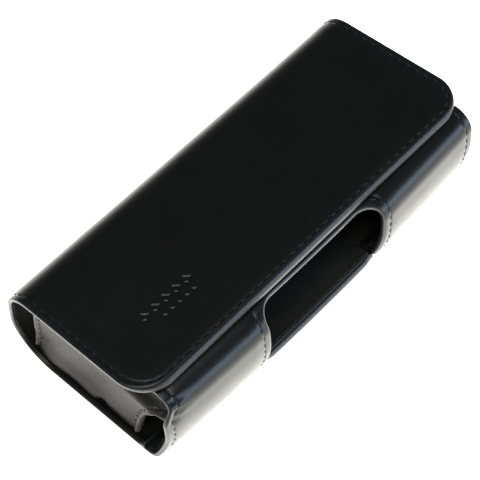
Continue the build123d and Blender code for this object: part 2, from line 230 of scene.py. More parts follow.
# ---- thread ----
STITCH_PITCH = 3.0
STITCH_HALF = 1.08
THREAD_WIDE = 0.27  # half the thread's width
THREAD_HIGH = 0.22
THREAD_SUNK = 0.06  # its middle lies this far under the surface
GUSSET_THREAD_SUNK = 0.04
LIP_THREAD_SUNK = SHELL + 0.1  # the lip's row shows on the inner face
THREAD_SIDES = 8
THREAD_BLUNT = 1.04  # just over 1, so that its ends aren't points
PLY_TURN = 0.3  # how the ply pattern runs round the thread
STITCH_SLANT = 0.09
STITCH_STATIONS = 9
STITCH_DRIFT = 0.02  # its middle strays by this share of the pitch
STITCH_LENGTHS = (0.93, 1.05)
STITCH_SLANTS = (0.5, 1.5)
STITCH_SINK = 0.34  # its ends go down this far into their holes
SPINE_GAP = 0.4  # rows stop this far short of the spine's middle,
ROW_GAP = 2.2  # of the lower seam and the window's sides,
FOOT_GAP = 1.0  # of the window's foot,
SEAM_GAP = 2.6  # of the front's lower seam,
MOUTH_GAP = 3.6  # of its mouth and its ends,
BOTTOM_GAPS = (2.0, 5.4)  # of the loop and of the pouch's ends,
LOOP_GAP = 1.9  # and of the loop's sides
GUSSET_ROWS = (0.09, 0.93, 30)  # first and last share of the height, and points


# ---- flat leather and its bent section ----
class Section:
    """A bent line in the YZ plane: straight runs and arcs, one after another."""

    def __init__(self, start, heading, pieces, outward):
        self.outward = outward  # 1 if the outer face is on the left of the heading
        self.knots = []
        y, z = start
        angle = math.radians(heading)
        at = 0.0
        for run, turn in pieces:
            bend = math.radians(turn) / run
            self.knots.append((at, y, z, angle, bend))
            y, z = self.step(y, z, angle, bend, run)
            angle += bend * run
            at += run
        self.length = at

    @staticmethod
    def step(y, z, angle, bend, run):
        if abs(bend) < 1e-9:
            return y + np.cos(angle) * run, z + np.sin(angle) * run
        turned = angle + bend * run
        return (
            y + (np.sin(turned) - np.sin(angle)) / bend,
            z - (np.cos(turned) - np.cos(angle)) / bend,
        )

    def place(self, s, depth):
        """Y and Z of points at s along the line and depth inside its outer face."""
        s = np.asarray(s, float)
        y, z, turned = np.zeros((3, *s.shape))
        starts = np.array([knot[0] for knot in self.knots])
        which = np.clip(np.searchsorted(starts, s, side="right") - 1, 0, len(starts) - 1)
        for number, (at, y0, z0, angle, bend) in enumerate(self.knots):
            here = which == number
            run = s[here] - at
            y[here], z[here] = self.step(y0, z0, angle, bend, run)
            turned[here] = angle + bend * run
        y = y + np.sin(turned) * depth * self.outward
        z = z - np.cos(turned) * depth * self.outward
        return y, z


def smooth(t):
    """From 0 to 1 with level ends."""
    t = np.clip(t, 0, 1)
    return t * t * (3 - 2 * t)


def swell(a, b, bump):
    """A soft bump, from its height, its middle and its reach in a and in b."""
    height, middle_a, middle_b, reach_a, reach_b = bump
    return height * np.exp(-(((a - middle_a) / reach_a) ** 2) - ((b - middle_b) / reach_b) ** 2)


def ridge(distance, height, middle, reach):
    """The same along a line."""
    return height * np.exp(-(((distance - middle) / reach) ** 2))


def even(start, stop, step):
    """Evenly spaced grid lines, about this step apart."""
    count = max(1, round(abs(stop - start) / step))
    return list(np.linspace(start, stop, count + 1))


def grid_lines(*groups):
    """Sorted grid lines; where two nearly coincide the one listed first stays."""
    kept = []
    for group in groups:
        for mark in group:
            if all(abs(mark - other) > SAME_LINE for other in kept):
                kept.append(float(mark))
    return np.array(sorted(kept))


quarter = math.pi / 2
lean = math.radians(SPINE_LEAN)
lower_y = SPINE_Y - LOWER_FOLD
foot = (lower_y + LOWER_FOLD * math.cos(lean), LOWER_FOLD * (1 + math.sin(lean)))
upper_z = HEIGHT - UPPER_FOLD
upper_y = foot[0] - UPPER_FOLD / math.cos(lean) - (upper_z - foot[1]) * math.tan(lean)
head = (upper_y + UPPER_FOLD * math.cos(lean), upper_z + UPPER_FOLD * math.sin(lean))
half_spine = math.dist(foot, head) / 2
mid_spine = ((foot[0] + head[0]) / 2, (foot[1] + head[1]) / 2)
lower_turn = 90 + SPINE_LEAN
upper_turn = 90 - SPINE_LEAN
lower_arc = math.radians(lower_turn) * LOWER_FOLD
upper_arc = math.radians(upper_turn) * UPPER_FOLD

back_section = Section(
    mid_spine,
    SPINE_LEAN - 90,
    [(half_spine, 0), (lower_arc, -lower_turn), (lower_y - LIP_Y, 0)],
    outward=1,
)
flap_section = Section(
    mid_spine,
    90 + SPINE_LEAN,
    [(half_spine, 0), (upper_arc, upper_turn), (upper_y - FLAP_EDGE_Y + FLAP_PROUD, 0)],
    outward=-1,
)
belly_turn = math.degrees(math.asin(BELLY_TOP_Z / BELLY))
corner_turn = 90 - belly_turn
corner_y = SIDE_Y + BELLY * (1 - math.cos(math.radians(belly_turn)))
corner_cut = BOTTOM_ROLL * math.tan(math.radians(corner_turn) / 2)
front_section = Section(
    (FRONT_SEAM_Y, 0),
    180,
    [
        (FRONT_SEAM_Y - corner_y - corner_cut, 0),
        (BOTTOM_ROLL * math.radians(corner_turn), -corner_turn),
        (BELLY * math.radians(belly_turn) - corner_cut, -belly_turn),
        (FRONT_Z - FRONT_ROLL - BELLY_TOP_Z, 0),
        (FRONT_ROLL * quarter, -90),
        (MOUTH_Y - SIDE_Y - FRONT_ROLL, 0),
    ],
    outward=1,
)
front_face = front_section.length - (MOUTH_Y - SIDE_Y - FRONT_ROLL)
window_rim = front_face - RIM_DROP
pinch_s = front_face - PINCH_BACK
back_seam = half_spine + lower_arc + lower_y - FRONT_SEAM_Y
back_lip = back_section.length
flap_end = flap_section.length


def end_pull(x, weight):
    """The lower side is drawn in towards the two ends."""
    return END_PULL * np.clip(np.abs(x) / HALF_LENGTH, 0, 1) ** 2 * weight


def on_back(x, s, depth):
    y, z = back_section.place(s, depth)
    y = y + end_pull(x, smooth((s - back_seam + END_FADE) / END_FADE))
    corner = np.minimum(x - WINDOW_LEFT, WINDOW_RIGHT - x)
    lip = smooth((s - back_seam) / (back_lip - back_seam)) * smooth(1 - corner / LIP_FADE)
    return x, y + LIP_TUCK * lip, z


def on_flap(x, s, depth):
    y, z = flap_section.place(s, depth)
    bend_end = half_spine + upper_arc
    run = np.clip((s - bend_end) / (flap_end - bend_end), 0, 1)
    skew = SKEW[1] * run + SKEW[0] * (1 - run) * smooth(s / bend_end)
    return x + skew * smooth((x - SKEW_FROM) / (HALF_LENGTH - SKEW_FROM)), y, z


def drawn_in(x, y, z):
    """How far the left end is drawn in under the flap's front corner."""
    _, from_y, from_z = DRAWN_FROM
    run_y, run_z = DRAWN_RUN
    reach = smooth((z - from_z) / run_z) * smooth((from_y - y) / run_y)
    return np.where(x < 0, DRAWN_IN, 0.0) * reach


def on_front(x, s, depth):
    y, z = front_section.place(s, depth)
    ends = smooth((np.abs(x) - DRAWN_FROM[0]) / (HALF_FRONT - DRAWN_FROM[0]))
    x = x + ends * drawn_in(x, y, z)
    outer = np.clip((np.abs(x) - NARROW_FROM) / (HALF_FRONT - NARROW_FROM), 0, 1)
    spread = (HALF_LENGTH - HALF_FRONT) * outer * (1 - smooth(s / NARROW_RUN))
    x = x + np.sign(x) * spread
    y = y + end_pull(x, 1 - smooth((s - front_face) / END_FADE))
    past = s - pinch_s
    wave = np.sin(CRUMPLE_WAVE[0] * (x - PINCH[1]) + CRUMPLE_WAVE[1] * past)
    pinch = swell(x, past, PINCH) + swell(x, past, CRUMPLE) * wave + swell(x, past, DIMPLE)
    return x, y + PINCH_RISE[0] * pinch, z + PINCH_RISE[1] * pinch


# ---- meshes ----
def rounded(distance, radius):
    """How far a face drops towards an edge rounded to this radius."""
    inside = np.clip(radius - distance, 0, radius)
    return radius - np.sqrt(np.maximum(radius**2 - inside**2, 0))


def show(name, data):
    """A new object of the scene."""
    shown = bpy.data.objects.new(name, data)
    bpy.context.scene.collection.objects.link(shown)
    return shown


def finish_mesh(name, points, faces, flat, edge, material, sharp=SHARP):
    """A piece from lists of arrays: its points, and where they lie in flat leather."""
    mesh = bpy.data.meshes.new(name)
    points, flat = np.concatenate(points), np.concatenate(flat)
    points[:, 2] += BACK_Z
    mesh.from_pydata((points * MM).tolist(), [], faces)
    for title, kind, field, values in (
        ("flat", "FLOAT_VECTOR", "vector", flat * MM), ("edge", "FLOAT", "value", edge)
    ):
        attribute = mesh.attributes.new(title, kind, "POINT")
        attribute.data.foreach_set(field, values.astype(np.float32).ravel())
    work = bmesh.new()
    work.from_mesh(mesh)
    bmesh.ops.recalc_face_normals(work, faces=work.faces)
    work.to_mesh(mesh)
    work.free()
    mesh.shade_smooth()
    mesh.set_sharp_from_angle(angle=math.radians(sharp))
    mesh.materials.append(material)
    piece = show(name, mesh)
    return piece


def closed_faces(number, cells, count):
    """A sheet's two faces over these grid cells, and the rim between them."""
    faces, inside = [], set(cells)
    for i, j in cells:
        ring = [number[i, j], number[i + 1, j], number[i + 1, j + 1], number[i, j + 1]]
        ring = [int(k) for k in ring]
        faces += [ring, [k + count for k in reversed(ring)]]
        sides = ((i - 1, j, 3, 0), (i + 1, j, 1, 2), (i, j - 1, 0, 1), (i, j + 1, 2, 3))
        for next_i, next_j, a, b in sides:
            if (next_i, next_j) not in inside:
                a, b = ring[a], ring[b]
                faces.append([b, a, a + count, b + count])
    return faces


def slab(name, xs, ss, keep, shape, place, faces_at, material, slot):
    """A closed sheet drawn on a grid of x and s.

    keep says which cells are leather, shape gives the drawn x and s of grid points and
    their distance from the edge, and faces_at gives the depths of the two faces there.
    """
    grid_x, grid_s = np.meshgrid(xs, ss, indexing="ij")
    kept = keep((grid_x[1:, 1:] + grid_x[:-1, :-1]) / 2, (grid_s[1:, 1:] + grid_s[:-1, :-1]) / 2)
    drawn_x, drawn_s, distance, weight = shape(grid_x, grid_s)
    top, bottom = faces_at(drawn_x, drawn_s, distance, weight)
    number = np.full(grid_x.shape, -1)
    used = np.zeros(grid_x.shape, bool)
    for i, j in ((0, 0), (1, 0), (0, 1), (1, 1)):
        used[i : i + kept.shape[0], j : j + kept.shape[1]] |= kept
    count = int(used.sum())
    number[used] = np.arange(count)
    points, flat = [], []
    for depth in (top, bottom):
        x, y, z = place(drawn_x, drawn_s, depth)
        points.append(np.stack([x[used], y[used], z[used]], 1))
        flat.append(np.stack([drawn_x[used], drawn_s[used], depth[used]], 1))
    faces = closed_faces(number, list(zip(*np.nonzero(kept))), count)
    # paler edges: rubbed wear and painted highlight
    wear_and_highlight = np.exp(-distance[used] / PALE_EDGE_REACH)
    return finish_mesh(name, points, faces, flat, np.tile(wear_and_highlight, 2), material)


def quarter_turn(a, b):
    """Where a square corner's grid point lies once the corner is a quarter disc."""
    reach = np.maximum(a, b)
    low_side = np.minimum(a, b) / np.maximum(reach, 1e-9) * (quarter / 2)
    angle = np.where(a >= b, low_side, quarter - low_side)
    return reach * np.cos(angle), reach * np.sin(angle)


def flap_shape(inset):
    half, end, corner = HALF_LENGTH - inset, flap_end - inset, FLAP_CORNER - inset

    def shape(x, s):
        distance = np.minimum(half - np.abs(x), end - s)
        a, b = np.abs(x) - (half - corner), s - (end - corner)
        bent_a, bent_b = quarter_turn(a, b)
        turned = (a > 0) & (b > 0)
        new_x = np.where(turned, np.sign(x) * (half - corner + bent_a), x)
        towards_front = np.arctan2(np.maximum(b, 1e-6), np.maximum(a, 1e-6)) / quarter
        weight = np.where(b > 0, smooth(towards_front), 0.0)
        return new_x, np.where(turned, end - corner + bent_b, s), distance, weight

    return shape


def back_shape(inset):
    half, lip = HALF_LENGTH - inset, back_lip - inset
    left, right = WINDOW_LEFT + inset, WINDOW_RIGHT - inset

    def shape(x, s):
        within = np.minimum(x - left, right - x)
        over_seam = s - back_seam + inset
        side = np.where(over_seam > 0, within, np.maximum(-over_seam, within))
        distance = np.minimum(np.minimum(half - np.abs(x), lip - s), side)
        return x, s, np.maximum(distance, 0), smooth((s - back_seam + LIP_RUN) / LIP_RUN)

    return shape


def front_shape(inset):
    half, end = HALF_FRONT - inset, front_section.length - inset
    left, right, rim = WINDOW_LEFT - inset, WINDOW_RIGHT + inset, window_rim + inset
    corner = WINDOW_CORNER + inset

    def shape(x, s):
        clear = np.maximum(np.maximum(left - x, x - right), s - rim)
        outer = np.minimum(np.minimum(half - np.abs(x), end - s), s - inset)
        distance = np.maximum(np.minimum(clear, outer), 0)
        new_x, new_s = x.copy(), s.copy()
        for side, edge in ((-1, left), (1, right)):
            a, b = side * (x - edge) + corner, s - rim + corner
            bent_a, bent_b = quarter_turn(a, b)
            square = smooth((np.maximum(a, b) - corner) / WINDOW_SPREAD)
            turned = (a > 0) & (b > 0)
            moved_a = bent_a + (a - bent_a) * square
            moved_b = bent_b + (b - bent_b) * square
            new_x = np.where(turned, edge + side * (moved_a - corner), new_x)
            new_s = np.where(turned, rim - corner + moved_b, new_s)
        weight = smooth((RIM_FAR - clear) / (RIM_FAR - RIM_NEAR))
        return new_x, new_s, distance, weight

    return shape


def undulation(x, s):
    """Slow unevenness of a hand-made panel, in millimetres."""
    total = 0
    for wave_x, wave_s, phase, size in WAVES:
        total = total + size * np.sin(x * wave_x + s * wave_s + phase)
    return total


def swelling(distance, edge):
    """A panel's thickness: thin at a skived edge and full a little way in."""
    return edge + (SHELL - LINING - edge) * smooth((distance - SKIVE_FROM) / SKIVE_RUN)


def leather_faces(row, full_edge, relief):
    """Depths of a panel's faces: skived or full edges, a stitched channel, slow unevenness."""

    def faces_at(x, s, distance, weight):
        edge, outer, inner = (
            thin + (full - thin) * weight for thin, full in zip(THIN_EDGE, full_edge)
        )
        channel = ridge(distance, CHANNEL_DEPTH, row, CHANNEL_WIDTH)
        top = rounded(distance, outer) + channel - ridge(distance - row, *PUFF)
        top = top + undulation(x, s) * smooth(distance / WAVES_FADE)
        if relief is not None:
            top = top + relief(x, s)
        return top, swelling(distance, edge) - rounded(distance, inner)

    return faces_at


def lining_faces(full_edge):
    """Depths of a lining's faces; it lies on the leather's inner face."""

    def faces_at(x, s, distance, weight):
        edge = THIN_EDGE[0] + (full_edge[0] - THIN_EDGE[0]) * weight
        start = swelling(distance + TUCK, edge) - LINING_SUNK
        return start, start + LINING + LINING_NAP - rounded(distance, LINING * LINING_ROUND)

    return faces_at


def lozenges(x, s):
    """The blind-tooled marks on the flap: open lozenges over a row of small ones."""
    y = upper_y - (s - half_spine - upper_arc)
    depth = 0
    height, size, slope = TOOLED_OPEN
    for step in range(-2, 3):
        spread = np.abs(x - ORNAMENT_X - step * ORNAMENT_PITCH) + np.abs(y - ORNAMENT_Y)
        depth = np.maximum(depth, smooth((ORNAMENT_SIZE - spread) / TOOLED_SLOPE))
        depth = depth - height * smooth((ORNAMENT_SIZE * size - spread) / slope)
        spread = np.abs(x - SMALL_X - step * SMALL_PITCH) + np.abs(y - SMALL_Y)
        depth = np.maximum(depth, smooth((SMALL_SIZE - spread) / TOOLED_SLOPE))
    return ORNAMENT_DEPTH * depth


# ---- materials ----
class Nodes:
    """Short calls for building a node material."""

    def __init__(self, name):
        self.material = bpy.data.materials.new(name)
        self.material.use_nodes = True
        self.tree = self.material.node_tree
        self.shader = self.tree.nodes["Principled BSDF"]

    def add(self, kind, links=None, **settings):
        node = self.tree.nodes.new("ShaderNode" + kind)
        for key, value in settings.items():
            if hasattr(node, key):
                setattr(node, key, value)
            else:
                node.inputs[key.replace("_", " ")].default_value = value
        for socket, source in (links or {}).items():
            self.tree.links.new(source, node.inputs[socket])
        return node

    def feed(self, socket, source):
        self.tree.links.new(source, self.shader.inputs[socket])

    def shader_values(self, **values):
        for key, value in values.items():
            self.shader.inputs[key.replace("_", " ")].default_value = value

    def flat(self):
        """The piece's flat coordinates, in metres."""
        return self.add("Attribute", attribute_name="flat").outputs["Vector"]

    def noise(self, vector, scale, detail=3.0, roughness=0.5):
        node = self.add(
            "TexNoise", {"Vector": vector}, Scale=scale, Detail=detail, Roughness=roughness
        )
        return node.outputs["Fac"]

    def cells(self, vector, scale):
        """How far a point is from the edge of its cell."""
        node = self.add("TexVoronoi", {"Vector": vector}, feature="DISTANCE_TO_EDGE", Scale=scale)
        return node.outputs["Distance"]

    def span(self, value, low_in, high_in, low_out=0.0, high_out=1.0):
        node = self.add(
            "MapRange", {"Value": value},
            From_Min=low_in, From_Max=high_in, To_Min=low_out, To_Max=high_out,
        )
        return node.outputs["Result"]

    def maths(self, operation, first, second):
        node = self.add("Math", operation=operation)
        for index, value in enumerate((first, second)):
            if isinstance(value, (int, float)):
                node.inputs[index].default_value = value
            else:
                self.tree.links.new(value, node.inputs[index])
        return node.outputs[0]

    def blend(self, factor, dark, light):
        node = self.add("Mix", data_type="RGBA")
        self.tree.links.new(factor, node.inputs["Factor"])
        colours = [socket for socket in node.inputs if socket.type == "RGBA"]
        for socket, colour in zip(colours, (dark, light)):
            if isinstance(colour, tuple):
                socket.default_value = (*colour, 1)
            else:
                self.tree.links.new(colour, socket)
        return [socket for socket in node.outputs if socket.type == "RGBA"][0]

    def bump(self, height, distance, strength):
        node = self.add("Bump", {"Height": height}, Distance=distance, Strength=strength)
        self.feed("Normal", node.outputs["Normal"])


def smooth_leather(name, dark, light, worn_and_highlit, rough, ior=1.46, coat=0.12):
    """Polished black leather: fine pores, faint creases, and edges paler, partly rubbed wear and
    partly painted highlight.
    """
    n = Nodes(name)
    flat = n.flat()
    edge = n.add("Attribute", attribute_name="edge").outputs["Fac"]
    cloud = n.noise(flat, scale=55, detail=4, roughness=0.6)
    base = n.blend(n.span(cloud, 0.3, 0.7), dark, light)
    scuff_and_glint = n.span(n.noise(flat, scale=900, detail=2), 0.42, 0.68, 0.35, 1)
    # the paler edge colour is partly wear and partly painted highlight on rims that catch the
    # light
    n.feed("Base Color", n.blend(n.maths("MULTIPLY", edge, scuff_and_glint), base, worn_and_highlit))
    smear = n.noise(flat, scale=130, detail=5, roughness=0.65)
    n.feed("Roughness", n.span(smear, 0.3, 0.72, rough - 0.02, rough + 0.035))
    pores = n.span(n.cells(flat, scale=1500), 0, 0.22)
    creases = n.span(n.cells(flat, scale=420), 0, 0.07, 0.55, 1)
    fine = n.noise(flat, scale=5200)
    skin = n.maths("ADD", n.maths("MULTIPLY", pores, creases), n.maths("MULTIPLY", fine, 0.55))
    n.bump(skin, 0.00003, 0.34)
    n.shader_values(IOR=ior, Coat_Weight=coat, Coat_Roughness=0.16, Coat_IOR=1.45)
    return n.material


def suede(name, dark, light, shade_at_ends):
    """A matt napped lining, with painted shade near the two ends."""
    n = Nodes(name)
    flat = n.flat()
    nap = n.noise(flat, scale=2600, detail=5, roughness=0.7)
    brushed = n.noise(flat, scale=90)
    mixed = n.maths("ADD", n.maths("MULTIPLY", nap, 0.6), n.maths("MULTIPLY", brushed, 0.4))
    along = n.add("SeparateXYZ", {"Vector": flat}).outputs["X"]
    # painted shade: the lining's colour goes darker towards the pouch's two ends
    ends = n.span(n.maths("MULTIPLY", along, along), *SUEDE_SHADE_REACH)
    colour = n.blend(n.span(mixed, 0.35, 0.65), dark, light)
    n.feed("Base Color", n.blend(ends, colour, shade_at_ends))
    n.bump(nap, 0.00012, 0.6)
    n.shader_values(Roughness=0.95, Specular_IOR_Level=0.05)
    return n.material


def twisted_thread(name, dark, light):
    """Waxed thread: the plies show as a slanting pattern along each stitch."""
    n = Nodes(name)
    flat = n.flat()
    ply = n.add(
        "TexWave", {"Vector": flat}, wave_type="BANDS", bands_direction="DIAGONAL",
        Scale=620.0, Distortion=1.5,
    ).outputs["Fac"]
    n.feed("Base Color", n.blend(ply, dark, light))
    n.feed("Roughness", n.span(n.noise(flat, scale=700), 0.3, 0.7, 0.4, 0.6))
    n.bump(ply, 0.00006, 0.7)
    n.shader_values(Specular_IOR_Level=0.4)
    return n.material


def plated(name, colour, rough):
    """A plated disc inside the leather, with fine brushing."""
    n = Nodes(name)
    place = n.add("TexCoord").outputs["Object"]
    brush = n.noise(place, scale=1800, detail=4)
    tint = tuple(0.82 * part for part in colour)
    n.feed("Base Color", n.blend(brush, tint, colour))
    n.feed("Roughness", n.span(brush, 0.3, 0.7, rough - 0.06, rough + 0.08))
    n.bump(brush, 0.00001, 0.4)
    n.shader_values(Metallic=1.0)
    return n.material


shell_leather = smooth_leather(
    "shell_leather", dark=(0.0058, 0.0058, 0.0060), light=(0.0086, 0.0086, 0.0087),
    worn_and_highlit=(0.030, 0.034, 0.041), rough=0.33,
)
gusset_skin = smooth_leather(
    "gusset_skin", dark=(0.0080, 0.0077, 0.0074), light=(0.0120, 0.0116, 0.0108),
    worn_and_highlit=(0.15, 0.147, 0.136), rough=0.36, ior=1.172, coat=0.0,
)
black_suede = suede(
    "black_suede", dark=(0.027, 0.0265, 0.0245), light=(0.050, 0.049, 0.0455),
    shade_at_ends=(0.0045, 0.0044, 0.0042),
)
black_thread = twisted_thread("black_thread", (0.010, 0.0102, 0.011), (0.030, 0.031, 0.033))
nickel = plated("nickel", (0.66, 0.61, 0.55), 0.28)
steel = plated("steel", (0.56, 0.57, 0.58), 0.38)


def bend_low(piece):
    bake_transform(piece)


def bend_high(piece):
    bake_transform(piece)


def everywhere(x, s):
    return np.ones(x.shape, bool)


def in_flap(inset):
    return everywhere


def in_back(inset):
    def keep(x, s):
        tongue = (x > WINDOW_LEFT + inset) & (x < WINDOW_RIGHT - inset)
        return (s < back_seam - inset) | tongue

    return keep


def in_front(inset):
    def keep(x, s):
        window = (x > WINDOW_LEFT - inset) & (x < WINDOW_RIGHT + inset)
        return ~(window & (s < window_rim + inset))

    return keep


def rings_from(edge, direction, marks):
    """Grid lines close together beside an edge."""
    return [edge + direction * mark for mark in marks]


def both_ends(start, stop, marks):
    """Grid lines close together at both ends of a span."""
    return [rings_from(start, 1, marks), rings_from(stop, -1, marks)]


def flap_grid(inset, marks):
    half, end, corner = HALF_LENGTH - inset, flap_end - inset, FLAP_CORNER - inset
    xs = both_ends(-half, half, marks)
    xs += [even(half - corner, half, CURVE_STEP), even(corner - half, -half, CURVE_STEP)]
    ss = [rings_from(end, -1, marks), even(end - corner, end, CURVE_STEP)]
    if inset == 0:
        tooled_s = half_spine + upper_arc + upper_y - ORNAMENT_Y
        xs.append(even(ORNAMENT_X + TOOLED_X[0], ORNAMENT_X + TOOLED_X[1], TOOLED_STEP))
        ss.append(even(tooled_s + TOOLED_S[0], tooled_s + TOOLED_S[1], TOOLED_STEP))
    bend = (half_spine, half_spine + upper_arc)
    ss += [[0, *bend], even(*bend, UPPER_FOLD_STEP), even(0, end, SECTION_STEP)]
    return grid_lines(*xs, even(-half, half, STEP)), grid_lines(*ss)


def back_grid(inset, marks):
    half, seam, lip = HALF_LENGTH - inset, back_seam - inset, back_lip - inset
    xs = both_ends(-half, half, marks)
    xs += both_ends(WINDOW_LEFT + inset, WINDOW_RIGHT - inset, marks)
    ss = [rings_from(seam, -1, marks), rings_from(lip, -1, marks), [0]]
    ss += [even(half_spine, half_spine + lower_arc, CURVE_STEP), even(0, lip, SECTION_STEP)]
    return grid_lines(*xs, even(-half, half, STEP)), grid_lines(*ss)


def front_grid(inset, marks):
    left, right = WINDOW_LEFT - inset, WINDOW_RIGHT + inset
    half, rim, end = HALF_FRONT - inset, window_rim + inset, front_section.length - inset
    xs = both_ends(-half, half, marks) + both_ends(right, left, marks)
    xs += [even(left - WINDOW_SPREAD, left + WINDOW_CORNER, WINDOW_STEP)]
    xs += [even(right - WINDOW_CORNER, right + WINDOW_SPREAD, WINDOW_STEP)]
    ss = both_ends(inset, end, marks) + [rings_from(rim, 1, marks)]
    ss += [even(rim - WINDOW_CORNER, rim + WINDOW_SPREAD, RIM_STEP)]
    ss += [even(inset, front_face, WINDOW_STEP), even(front_face, end, SECTION_STEP)]
    return grid_lines(*xs, even(-half, half, SECTION_STEP)), grid_lines(*ss)


PANELS = (
    ("flap", flap_grid, in_flap, flap_shape, on_flap, EDGE_ROW, FRONT_EDGE, lozenges),
    ("back", back_grid, in_back, back_shape, on_back, EDGE_ROW, LIP_EDGE, None),
    ("front", front_grid, in_front, front_shape, on_front, FRONT_ROW, RIM_EDGE, None),
)
flap_shell, back_shell, front_shell = (
    slab(
        part + "_shell", *grid(0, RINGS), keep(0), shape(0), place,
        leather_faces(row, edge, relief), shell_leather, "outer_leather",
    )
    for part, grid, keep, shape, place, row, edge, relief in PANELS
)
flap_suede, back_suede, front_suede = (
    slab(
        part + "_suede", *grid(TUCK, FEW_RINGS), keep(TUCK), shape(TUCK), place,
        lining_faces(edge), black_suede, "suede_lining",
    )
    for part, grid, keep, shape, place, _, edge, _ in PANELS
)
bend_high(flap_shell)
bend_high(flap_suede)
bend_low(back_shell)
bend_low(back_suede)
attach(front_shell, "pouch")
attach(front_suede, "pouch")
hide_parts("flap_leather", "flap_stiffener")
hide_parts("back_leather", "back_stiffener", "spine_leather", "spine_stiffener")
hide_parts("front_leather", "front_stiffener")
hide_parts("flap_lining")
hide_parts("back_lining", "spine_lining")
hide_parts("front_lining")


# ---- end gussets ----
def arc_through(first, middle, last):
    """Points on the circle through three points."""
    (ax, ay), (bx, by), (cx, cy) = first, middle, last
    d = 2 * (ax * (by - cy) + bx * (cy - ay) + cx * (ay - by))
    a, b, c = ax**2 + ay**2, bx**2 + by**2, cx**2 + cy**2
    ux = (a * (by - cy) + b * (cy - ay) + c * (ay - by)) / d
    uy = (a * (cx - bx) + b * (ax - cx) + c * (bx - ax)) / d
    start, via, stop = (math.atan2(y - uy, x - ux) for x, y in (first, middle, last))
    radius = math.hypot(ax - ux, ay - uy)
    sweep = (stop - start) % (2 * math.pi)
    if (via - start) % (2 * math.pi) > sweep:
        sweep -= 2 * math.pi
    angles = np.linspace(start, start + sweep, ARC_POINTS)
    return np.stack([ux + radius * np.cos(angles), uy + radius * np.sin(angles)], 1)


def walk(points, shares):
    """Points at these shares of a line's length."""
    points = np.asarray(points, float)
    run = np.concatenate([[0], np.cumsum(np.hypot(*np.diff(points, axis=0).T))])
    at = np.asarray(shares) * run[-1]
    return np.stack([np.interp(at, run, points[:, k]) for k in (0, 1)], 1)


def front_inside(x):
    """The front panel's inner face from the mouth round to the lower side."""
    s = np.linspace(front_section.length, 0, INSIDE_POINTS)
    _, y, z = on_front(np.full(s.shape, x), s, np.full(s.shape, GUSSET_SUNK))
    above = z > ARCH_TOP[1]
    return np.stack([y[above], z[above]], 1)


def gusset_patch(u, v):
    """Y and Z inside the gusset's outline: u from the hem to the arch, v from below."""
    inner = LOWER_FOLD - GUSSET_FOOT_Z
    turns = np.radians(np.linspace(HEM_TURN, -90, FOLD_POINTS))
    fold = np.stack([lower_y + inner * np.cos(turns), LOWER_FOLD + inner * np.sin(turns)], 1)
    top_line = front_inside(GUSSET_X)
    below = walk([*fold, ARCH_FOOT], u[:, 0])
    above = walk(top_line, u[:, 0])
    hem = walk(arc_through(fold[0], HEM_MIDDLE, top_line[0]), v[0])
    arch = walk([*arc_through(ARCH_FOOT, ARCH_MIDDLE, ARCH_TOP), top_line[-1]], v[0])
    patch = []
    for k in (0, 1):
        rows = below[:, None, k] * (1 - v) + above[:, None, k] * v
        columns = hem[None, :, k] * (1 - u) + arch[None, :, k] * u
        corners = (
            below[0, k] * (1 - u) * (1 - v) + below[-1, k] * u * (1 - v)
            + above[0, k] * (1 - u) * v + above[-1, k] * u * v
        )
        patch.append(rows + columns - corners)
    return patch


def gusset_sag(side, y, z):
    """How far the soft end panel stands in from its flat plane."""
    height, slope_y, slope_z, rise_z = GUSSET_CREASE
    crease = height * np.sin(slope_y * y + slope_z * z) * np.sin(rise_z * z)
    height, slope_y, phase = WAVY
    wavy = height * np.sin(slope_y * y + phase) - ridge(y, *NOTCH)
    full, less, from_y, run_y = FLARE
    flare = full - less * smooth((from_y - y) / run_y)
    foot = flare * smooth((FLARE_TOP[0] - z) / FLARE_TOP[1])
    foot = foot + wavy * smooth((WAVY_TOP[0] - z) / WAVY_TOP[1])
    return swell(y, z, GUSSET_BELLY) + crease + drawn_in(side, y, z) - foot


def gusset(name, side, start, stop, inset, radius, material, channel):
    """One layer of an end gusset, between the depths start and stop."""
    marks = [100 * (inset + mark) / GUSSET_WIDTH for mark in GUSSET_RINGS]
    edge = 100 * inset / GUSSET_WIDTH
    percents = [marks, [100 - mark for mark in marks], even(edge, 100 - edge, GUSSET_STEP)]
    shares = sorted(set(even(0, 1, 1 / GUSSET_RISE)) | LOW_ROWS)
    u, v = np.meshgrid(grid_lines(*percents) / 100, shares, indexing="ij")
    y, z = gusset_patch(u, v)
    distance = np.maximum(np.minimum(u, 1 - u) * GUSSET_WIDTH - inset, 0)
    drop = rounded(distance, radius)
    high, middle, reach = GUSSET_BEAD
    row = ridge(distance + inset, channel, EDGE_ROW, CHANNEL_WIDTH)
    row = row - ridge(distance, high * channel, middle, reach)
    sag = gusset_sag(side, y, z)
    points, flat = [], []
    for depth in (start + sag + drop + row, stop + sag - drop):
        x = side * (GUSSET_X - depth)
        points.append(np.stack([x.ravel(), y.ravel(), z.ravel()], 1))
        flat.append(np.stack([y.ravel(), z.ravel(), depth.ravel()], 1))
    cells = list(np.ndindex(u.shape[0] - 1, u.shape[1] - 1))
    faces = closed_faces(np.arange(u.size).reshape(u.shape), cells, u.size)
    # paler edges: rubbed wear and painted highlight on the bead
    wear_and_highlight = np.tile(np.exp(-((distance.ravel() / GUSSET_PALE_EDGE) ** 2)), 2)
    piece = finish_mesh(name, points, faces, flat, wear_and_highlight, material)
    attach(piece, "pouch")
    return piece


for side, hand in ((-1, "left"), (1, "right")):
    outer = gusset(
        "gusset_" + hand, side, 0.0, GUSSET_THICK, 0.0, GUSSET_ROUND, gusset_skin,
        CHANNEL_DEPTH,
    )
    inner = gusset(
        "gusset_suede_" + hand, side, GUSSET_THICK - GUSSET_OVERLAP,
        GUSSET_THICK + LINING, TUCK, LINING * SOFT_ROUND, black_suede, 0.0,
    )
    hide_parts("gusset_leather_" + hand)
    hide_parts("gusset_lining_" + hand)

